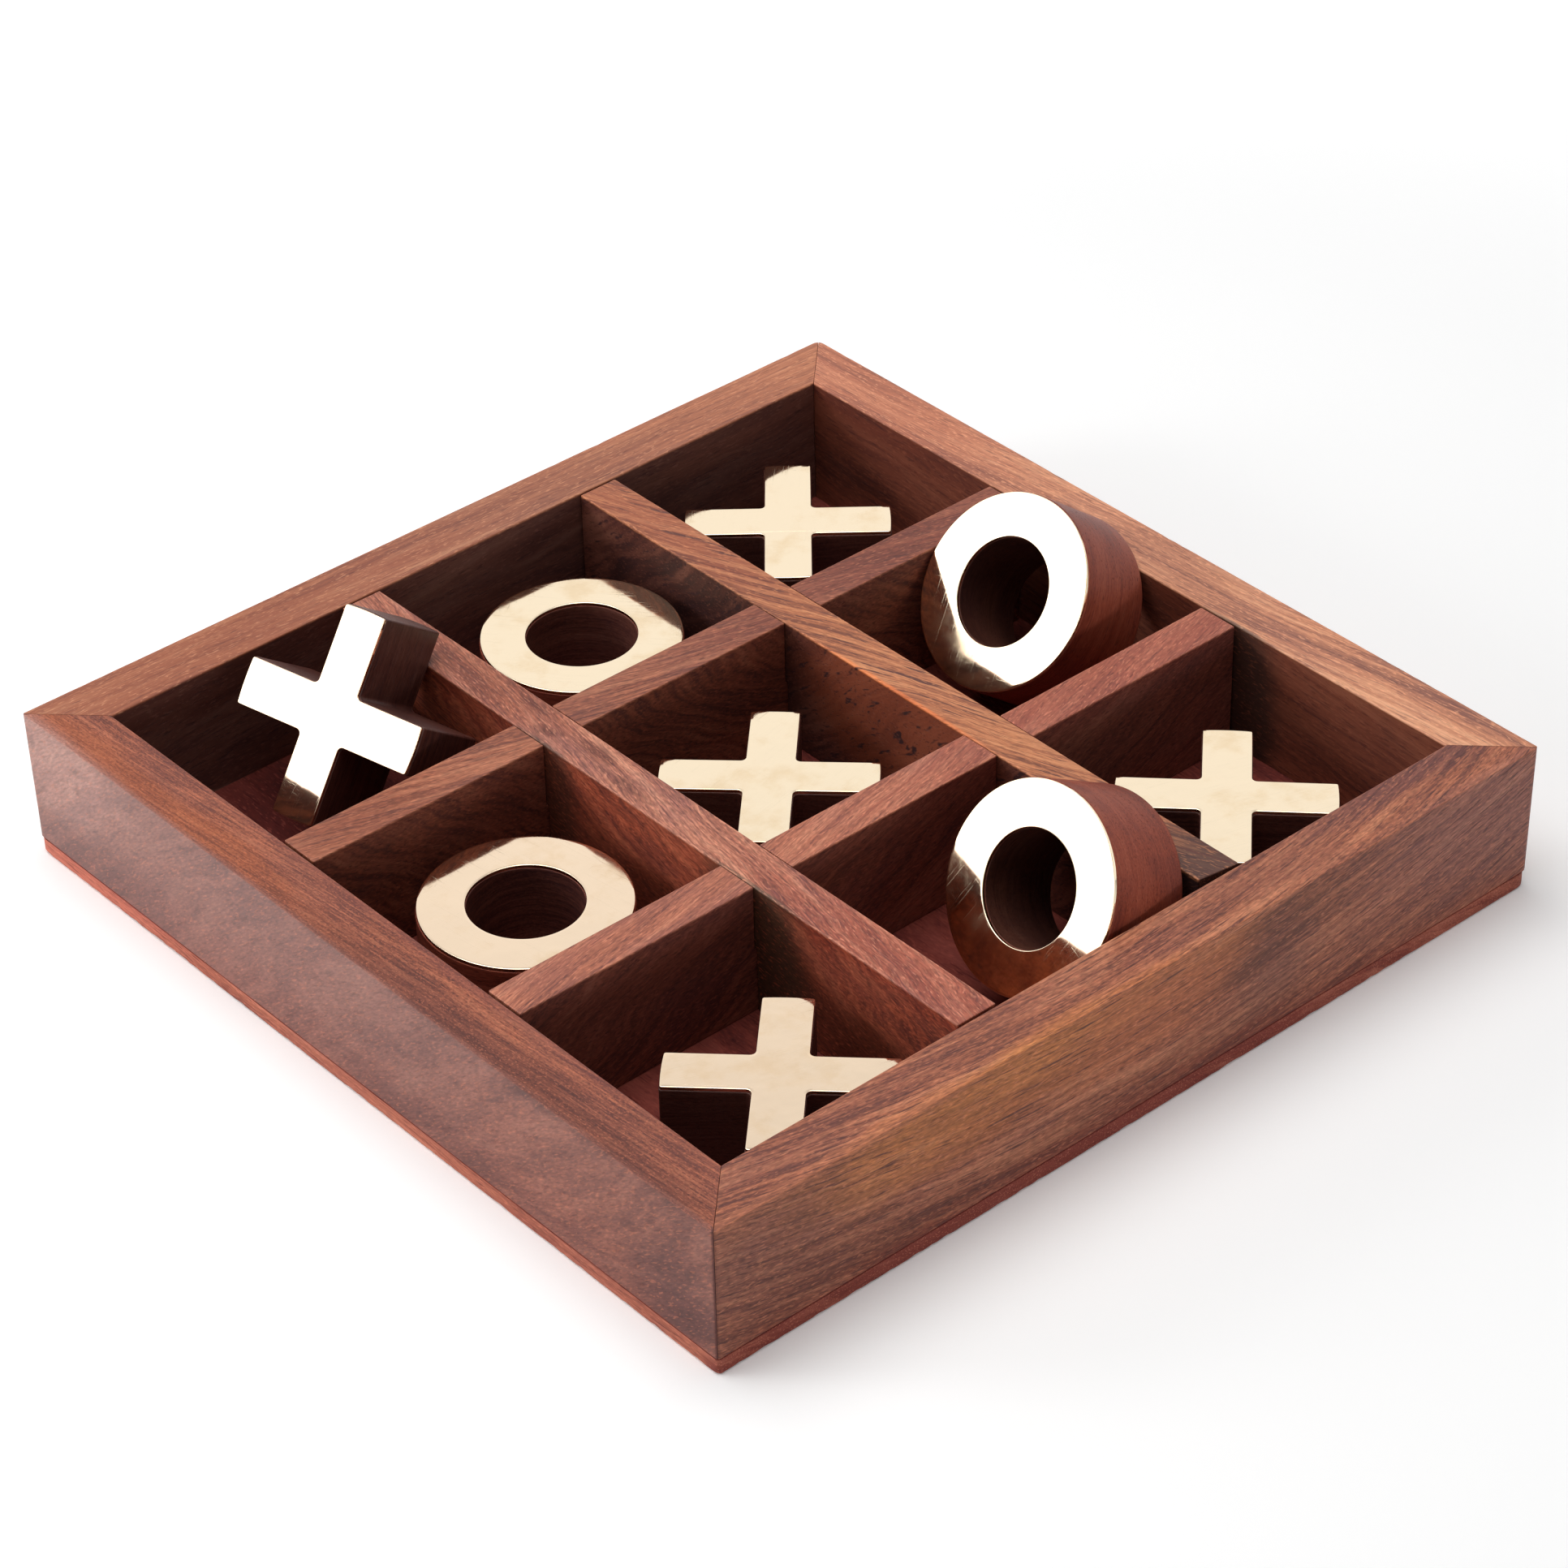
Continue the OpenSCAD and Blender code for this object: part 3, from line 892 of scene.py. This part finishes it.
# Inner faces are left rougher than the tops, and their colour is multiplied darker as painted shade
RAIL_MIDDLE = (1, 0.0, RAIL_WIDTH, WALL_HEIGHT)
DIVIDER_MIDDLE = (1, DIVIDER_WIDTH / 2, DIVIDER_WIDTH / 2, WALL_HEIGHT)

# Middle of a divider's width in mm, where most of its patches lie
MID = DIVIDER_WIDTH / 2

olive_gold = linear(184, 123, 71)
dark_blue = linear(84, 56, 60)
deep_red = linear(124, 60, 48)
pink_haze = linear(140, 84, 74)
side_brown = linear(150, 105, 93)
side_painted_sheen = linear(196, 150, 136)
orange_brown = linear(178, 106, 64)
plain_brown = linear(108, 61, 50)
gold = linear(206, 146, 84)
stain = linear(98, 58, 50)
arris_orange = linear(198, 140, 108)
purple_brown = linear(116, 78, 76)
side_grey = linear(150, 108, 99)
grey_end = linear(74, 52, 50)

front_rail_wood = rosewood(
    "rosewood_front_rail", offset=(40, 11, 5), mid=linear(150, 81, 58), layer_turn=6, slope=-0.07,
    lean=38, warp=1.2, ripple=0.3, zones=0.6, bands=1.0, lines=1.4, fibre=1.2, clouds=0.4, stripes=0.3,
    flecks=0.4, pores=0.2, speckle=0.5, glints=0.6, sheen=(-20, 150, 0.5), corner_line=0.7,
    shade=(*RAIL_MIDDLE, (0.5, 0.5, 0.6)),
    patches=(
        ((75, 0, 8), (240, 0.5, 45), side_brown, 0.88, 0.38, 0.25),
        ((85, 0, 2), (160, 1.6, 6), linear(140, 86, 74), 0.4),
        ((165, 0, 10), (30, 2, 18), plain_brown, 0.2),
        ((132, 0, 14), (24, 2, 12), linear(178, 120, 98), 0.4),
        # Painted sheen: a pale pinkish-grey patch high at the left of the outer face
        ((2, 0, 20), (26, 2, 12), side_painted_sheen, 0.7, 0.3),
        ((100, 10, 23), (80, 1.6, 2.2), pink_haze, 0.6),
        ((36, 3, 23), (44, 2.6, 2.2), orange_brown, 0.6),
        ((118, 2.6, 23), (48, 3, 1.6), plain_brown, 0.7),
        ((156, 0, 7), (9, 2, 7), dark_blue, 0.5),
        ((96, 0, 3), (18, 2, 3), dark_blue, 0.3),
        ((20, 0, 2), (24, 2, 3), dark_blue, 0.2),
    ),
)
right_rail_wood = rosewood(
    "rosewood_right_rail", offset=(210, 31, 17), mid=linear(166, 97, 70), layer_turn=46, slope=0.2,
    curve=-0.00125, warp=1.0, ripple=0.4, zones=1.0, bands=1.1, lines=1.2, stripes=0.9, clouds=0.3,
    streak=(0.1, 3.4, 0.45), fibre=0.9, speckle=0.6, glints=0.15, wear=(RAIL_WIDTH, 0.4),
    shade=(*RAIL_MIDDLE, (0.5, 0.5, 0.6)), corner_line=0.3,
    patches=(
        ((62, 0, 17.5), (48, 2, 7), olive_gold, 0.8),
        ((56, 0, 22), (40, 2, 6), gold, 0.65),
        ((84, 0, 16), (16, 2, 8), linear(190, 124, 86), 0.6),
        ((32, 0, 16), (16, 2, 5), gold, 0.5),
        ((72, 0, 3), (44, 2, 5), linear(104, 58, 44), 0.35),
        ((8, 0, 14), (20, 2, 10), dark_blue, 0.45),
        ((22, 0, 5), (18, 2, 6), linear(100, 58, 48), 0.5),
        ((108, 0, 12), (9, 2, 10), dark_blue, 0.5),
        ((120, 0, 16), (14, 2, 9), dark_blue, 0.15),
        ((156, 0, 14), (26, 2, 14), side_grey, 0.8),
        ((25, 7, 23), (34, 3, 2.5), purple_brown, 0.3),
        ((148, 9, 23), (30, 3.4, 2.5), purple_brown, 0.75),
        ((22, 0.8, 23), (34, 1.0, 1.3), arris_orange, 0.55),
        ((110, 1.2, 23), (60, 1.4, 1.2), arris_orange, 0.25),
        ((90, 0, 0), (80, 2, 3), deep_red, 0.5),
    ),
)
back_rail_wood = rosewood(
    "rosewood_back_rail", offset=(420, 57, 29), mid=linear(208, 139, 106), layer_turn=25, slope=-0.05,
    bands=0.8, lines=0.75, fibre=0.4, stripes=0.35, speckle=0.0, clouds=0.15,
    shade=(*RAIL_MIDDLE, (0.3, 0.185, 0.17)),
    patches=(
        ((150, 5, 23), (40, 12, 10), linear(182, 128, 104), 0.7),
        # Painted shade in the corner at the left end of the right cell's inner face
        ((54, 10, 9), (5.5, 0.4, 11), linear(92, 86, 78), 0.9, 0.3, 0.4),
    ),
)
left_rail_wood = rosewood(
    "rosewood_left_rail", offset=(630, 73, 41), mid=linear(182, 120, 89), layer_turn=15, slope=0.02,
    zones=0.8, bands=0.8, lines=0.7, fibre=0.3, stripes=0.2, speckle=0.0, clouds=0.2,
    shade=(*RAIL_MIDDLE, (0.34, 0.33, 0.45)),
    patches=(
        ((138, 5, 23), (60, 12, 10), linear(150, 90, 66), 0.7),
        ((78, 5, 23), (34, 12, 8), linear(156, 106, 86), 0.5),
        ((12, 5, 23), (40, 12, 10), linear(198, 140, 108), 0.6),
    ),
)
front_divider_wood = rosewood(
    "rosewood_front_divider", offset=(840, 91, 53), mid=linear(184, 115, 91), layer_turn=20, slope=0.2,
    warp=3.0, ripple=1.2, bands=1.0, lines=1.2, stripes=0.45, clouds=0.4, speckle=0.7,
    wear=(DIVIDER_WIDTH, 0.7),
    shade=(*DIVIDER_MIDDLE, (0.68, 0.38, 0.29)),
    patches=(
        ((26, MID, 23), (26, 6, 3), linear(150, 92, 68), 0.7),
        ((128, MID, 23), (30, 6, 3), linear(156, 86, 68), 0.7),
        ((49, 2.6, 23), (3, 1.6, 1.5), stain, 0.75),
        ((58, 5.0, 23), (4, 1.4, 1.5), stain, 0.65),
        ((42, 5.4, 23), (3, 1.0, 1.5), stain, 0.6),
        ((68, 2.4, 23), (5, 1.2, 1.5), stain, 0.45),
        # The last three patches are painted shade on the front face: darker towards the bottom, and at
        # the left ends of the centre and the right cell
        ((88, 0, 3), (70, 0.4, 6), linear(137, 93, 75), 0.85, 0.3, 0.4),
        ((51, 0, 11), (4.2, 0.4, 12), linear(108, 84, 72), 0.95, 0.3, 0.4),
        ((100, 0, 8), (7, 0.4, 14), linear(84, 78, 64), 0.95, 0.3, 0.4),
    ),
)
back_divider_wood = rosewood(
    "rosewood_back_divider", offset=(1050, 113, 67), mid=linear(185, 114, 78), layer_turn=20,
    slope=-0.32, warp=2.0, bands=1.4, lines=1.2, stripes=1.0, clouds=0.15, streak=(0.08, 1.5, 0.4),
    wear=(DIVIDER_WIDTH, 0.5), shade=(*DIVIDER_MIDDLE, (0.27, 0.22, 0.3)),
    patches=(
        ((20, MID, 23), (30, 6, 3), linear(150, 90, 70), 0.6),
        # Painted shade on the front face in the left cell
        ((34, 0, 8), (30, 1.6, 15), linear(88, 48, 38), 0.85),
        ((142, MID, 23), (12, 9, 6), grey_end, 0.9, 0.25),
        # Painted light: a lighter, warmer stretch high on the front face in the centre cell
        ((78, 0, 16), (13, 0.4, 8), linear(241, 144, 82), 0.8, 0.3, 0.4),
    ),
)
left_divider_wood = rosewood(
    "rosewood_left_divider", offset=(1260, 131, 79), mid=linear(160, 93, 68), layer_turn=20, slope=0.25,
    bands=1.0, lines=1.1, stripes=0.5, clouds=0.25, streak=(0.07, 1.6, 0.4), speckle=0.55,
    wear=(DIVIDER_WIDTH, 0.4), shade=(*DIVIDER_MIDDLE, (0.6, 0.5, 0.52)),
    patches=(
        ((118, MID, 23), (44, 6, 3), linear(132, 78, 64), 0.75),
        ((8, MID, 23), (18, 6, 3), linear(152, 94, 68), 0.7),
    ),
)
right_divider_wood = rosewood(
    "rosewood_right_divider", offset=(1470, 157, 97), mid=linear(180, 108, 83), layer_turn=20,
    slope=-0.2, bands=0.6, lines=0.8, stripes=0.3, clouds=0.3, speckle=0.45, wear=(DIVIDER_WIDTH, 0.5),
    shade=(*DIVIDER_MIDDLE, (0.5, 0.42, 0.46)),
    patches=(((120, MID, 23), (44, 6, 3), linear(160, 97, 80), 0.75),),
)
panel_wood = rosewood(
    "rosewood_panel", offset=(1680, 179, 111), mid=linear(179, 102, 80), layer_turn=80, slope=0.02,
    bands=0.6, lines=0.7, stripes=0.2, clouds=0.15, rough=0.6, specular=0.2,
    # The panel's top, which is the floor of the cells, gets painted shade as well
    shade=(2, 0.0, PANEL_HEIGHT, PANEL_HEIGHT + 1, (0.42, 0.265, 0.31)),
    patches=(
        # Painted shade along the panel's right-hand edge
        ((SIDE, 62, 1.5), (3, 90, 6), linear(134, 73, 64), 0.95),
        ((12, 0, 1.5), (26, 2, 4), linear(226, 150, 130), 0.55),
        # Painted shade on the floor of the front left cell
        ((32, 32, 3), (15, 15, 30), linear(126, 72, 62), 0.9, 0.45, 0.6),
    ),
)
cross_wood = rosewood(
    "rosewood_crosses", mid=linear(86, 49, 41), layer_turn=84, slope=0.01, warp=1.0,
    zones=0.8, bands=0.7, lines=0.8, stripes=0.3, clouds=0.25, flecks=0.15, rough=0.36,
)
flat_ring_wood = rosewood(
    "rosewood_flat_rings", mid=linear(148, 72, 54), layer_turn=84, slope=0.01, warp=1.0,
    zones=0.8, bands=0.7, lines=0.8, stripes=0.3, clouds=0.25, flecks=0.15, rough=0.4,
    specular=0.2, bore=(0.45, 0.68, 0.85),
)
leaning_ring_wood = rosewood(
    "rosewood_leaning_rings", mid=linear(144, 67, 48), layer_turn=84, slope=0.01, warp=1.0,
    zones=0.8, bands=0.45, lines=0.45, stripes=0.15, clouds=0.35, flecks=0.15, rough=0.4,
    specular=0.2, bore=(0.3, 0.5, 0.62),
)
plate_brass = brass("polished_brass", (0.98, 0.82, 0.60, 1.0), (0.90, 0.68, 0.42, 1.0))
warm_brass = brass("polished_brass_warm", (0.96, 0.76, 0.56, 1.0), (0.88, 0.64, 0.40, 1.0))


# The object

panel(panel_wood)
rail("front", 0, LEFT_CORNER, FRONT_CORNER, front_rail_wood, 1.0)
rail("right", 90, FRONT_CORNER, RIGHT_CORNER, right_rail_wood, 2.0)
rail("back", 180, RIGHT_CORNER, BACK_CORNER, back_rail_wood, 3.0)
rail("left", 270, BACK_CORNER, LEFT_CORNER, left_rail_wood, 4.0)
divider("front", front_divider_wood, 5.0)
divider("back", back_divider_wood, 6.0, 1.0 * MM)
divider("left", left_divider_wood, 7.0)
divider("right", right_divider_wood, 8.0)
for number, piece_name in enumerate((
    "cross_front_left", "ring_front_centre", "cross_front_right",
    "ring_middle_left", "cross_centre", "ring_middle_right",
    "cross_back_left", "ring_back_centre", "cross_back_right",
)):
    if piece_name in ("ring_middle_right", "ring_back_centre"):
        wood = leaning_ring_wood
    else:
        wood = flat_ring_wood if piece_name.startswith("ring") else cross_wood
    metal = warm_brass if "front" in piece_name else plate_brass
    playing_piece(piece_name, wood, metal, number + 1.0)


# Floor, light and camera

WHITE = (1.0, 1.0, 1.0, 1.0)
FLOOR_SIZE = 6.0
FLOOR_DROP = 0.02 * MM
FLOOR_COLOUR = (0.95, 0.95, 0.95, 1.0)

# Glow of the floor for the camera, from the near distance on rising to white at the far one
FLOOR_LIFT = 0.16
FLOOR_NEAR = 0.2
FLOOR_FAR = 0.6
AMBIENT = 0.12

# The sky seen in reflections is white up to one elevation and greyer above another, in degrees
SKY_WHITE_BELOW = 34
SKY_GREY_ABOVE = 50
SKY_GREY = 0.6

# Viewpoint fitted to the photograph, for a sensor 36 mm wide
CAMERA_PLACE = Vector((460.29, -389.12, 452.47)) * MM
CAMERA_TARGET = Vector((23.957, -18.329, 37.561)) * MM
CAMERA_ROLL = math.radians(-1.428)
CAMERA_LENS = 110.512

# Lamps: name, place, aim, width, height, and brightness of the face, 1 being white
KEY_PLACE, KEY_AIM = (-0.59, -0.75, 0.36), (0, 0, 0.02)
LAMPS = (
    ("key", KEY_PLACE, KEY_AIM, 0.95, 0.62, 1.5),
    ("key_core", KEY_PLACE, KEY_AIM, 0.26, 0.26, 9.0),
    ("top", (-0.15, -0.1, 1.0), (0, 0, 0), 0.9, 0.9, 3.45),
    ("low_fill", (1.2, -0.1, 0.085), (0, 0, 0.02), 1.2, 0.14, 4.6),
)


def floor():
    """A wide pale floor just under the board, which goes over into white far away."""
    bm = bmesh.new()
    bmesh.ops.create_grid(bm, x_segments=4, y_segments=4, size=FLOOR_SIZE / 2)
    mesh = bpy.data.meshes.new("floor")
    bm.to_mesh(mesh)
    bm.free()
    g = Graph(bpy.data.materials.new("pale_floor"))
    g.shader.inputs["Base Color"].default_value = FLOOR_COLOUR
    g.shader.inputs["Roughness"].default_value = 0.9
    g.shader.inputs["Specular IOR Level"].default_value = 0.1
    g.shader.inputs["Emission Color"].default_value = WHITE
    path = g.node("ShaderNodeLightPath").outputs
    distance = g.vector("LENGTH", g.node("ShaderNodeNewGeometry").outputs["Position"])
    lift = g.ease(distance, FLOOR_NEAR, FLOOR_FAR, FLOOR_LIFT, 1.0)
    lift = g.maths("MULTIPLY", path["Is Camera Ray"], lift)
    g.feed(g.shader.inputs["Emission Strength"], lift)
    mesh.materials.append(g.owner)
    ground = bpy.data.objects.new("floor", mesh)
    ground.location.z = -FLOOR_DROP
    bpy.context.scene.collection.objects.link(ground)


def surroundings():
    """White to the camera and in reflections, and a plain soft light on surfaces."""
    g = Graph(bpy.data.worlds.new("studio"))
    bpy.context.scene.world = g.owner
    g.tree.nodes.clear()
    upward = g.split(g.node("ShaderNodeTexCoord").outputs["Generated"])[2]
    white_below, grey_above = (math.sin(math.radians(a)) for a in (SKY_WHITE_BELOW, SKY_GREY_ABOVE))
    seen, light = g.node("ShaderNodeBackground"), g.node("ShaderNodeBackground")
    seen.inputs["Color"].default_value = light.inputs["Color"].default_value = WHITE
    g.feed(seen.inputs["Strength"], g.ease(upward, white_below, grey_above, 1.0, SKY_GREY))
    light.inputs["Strength"].default_value = AMBIENT
    path = g.node("ShaderNodeLightPath").outputs
    looked_at = g.maths("MAXIMUM", path["Is Camera Ray"], path["Is Glossy Ray"])
    looked_at = g.maths("MAXIMUM", looked_at, path["Is Transmission Ray"])
    mixed = g.node("ShaderNodeMixShader")
    for socket, value in zip(mixed.inputs, (looked_at, light.outputs[0], seen.outputs[0])):
        g.feed(socket, value)
    g.feed(g.node("ShaderNodeOutputWorld").inputs["Surface"], mixed.outputs[0])


def softbox(name, place, aim, width, height, radiance):
    """A flat rectangular lamp whose face has a given brightness, 1 being white."""
    data = bpy.data.lights.new(name, "AREA")
    data.shape = "RECTANGLE"
    data.size = width
    data.size_y = height
    data.energy = radiance * math.pi * width * height
    lamp = bpy.data.objects.new(name, data)
    lamp.location = place
    lamp.rotation_euler = (Vector(aim) - Vector(place)).to_track_quat("-Z", "Y").to_euler()
    lamp.visible_camera = False
    bpy.context.scene.collection.objects.link(lamp)


def camera():
    """The photograph's viewpoint, with its small roll."""
    place, roll = CAMERA_PLACE, CAMERA_ROLL
    forward = (CAMERA_TARGET - place).normalized()
    right = forward.cross(Vector((0, 0, 1))).normalized()
    up = right.cross(forward)
    across = right * math.cos(roll) + up * math.sin(roll)
    upward = up * math.cos(roll) - right * math.sin(roll)
    data = bpy.data.cameras.new("camera")
    data.sensor_width = 36.0
    data.lens = CAMERA_LENS
    data.clip_start = 0.01
    data.clip_end = 50.0
    made = bpy.data.objects.new("camera", data)
    made.matrix_world = Matrix((
        (across.x, upward.x, -forward.x, place.x),
        (across.y, upward.y, -forward.y, place.y),
        (across.z, upward.z, -forward.z, place.z),
        (0, 0, 0, 1),
    ))
    bpy.context.scene.collection.objects.link(made)
    bpy.context.scene.camera = made


floor()
surroundings()
for lamp in LAMPS:
    softbox(*lamp)
camera()
bpy.context.scene.view_settings.view_transform = "Standard"
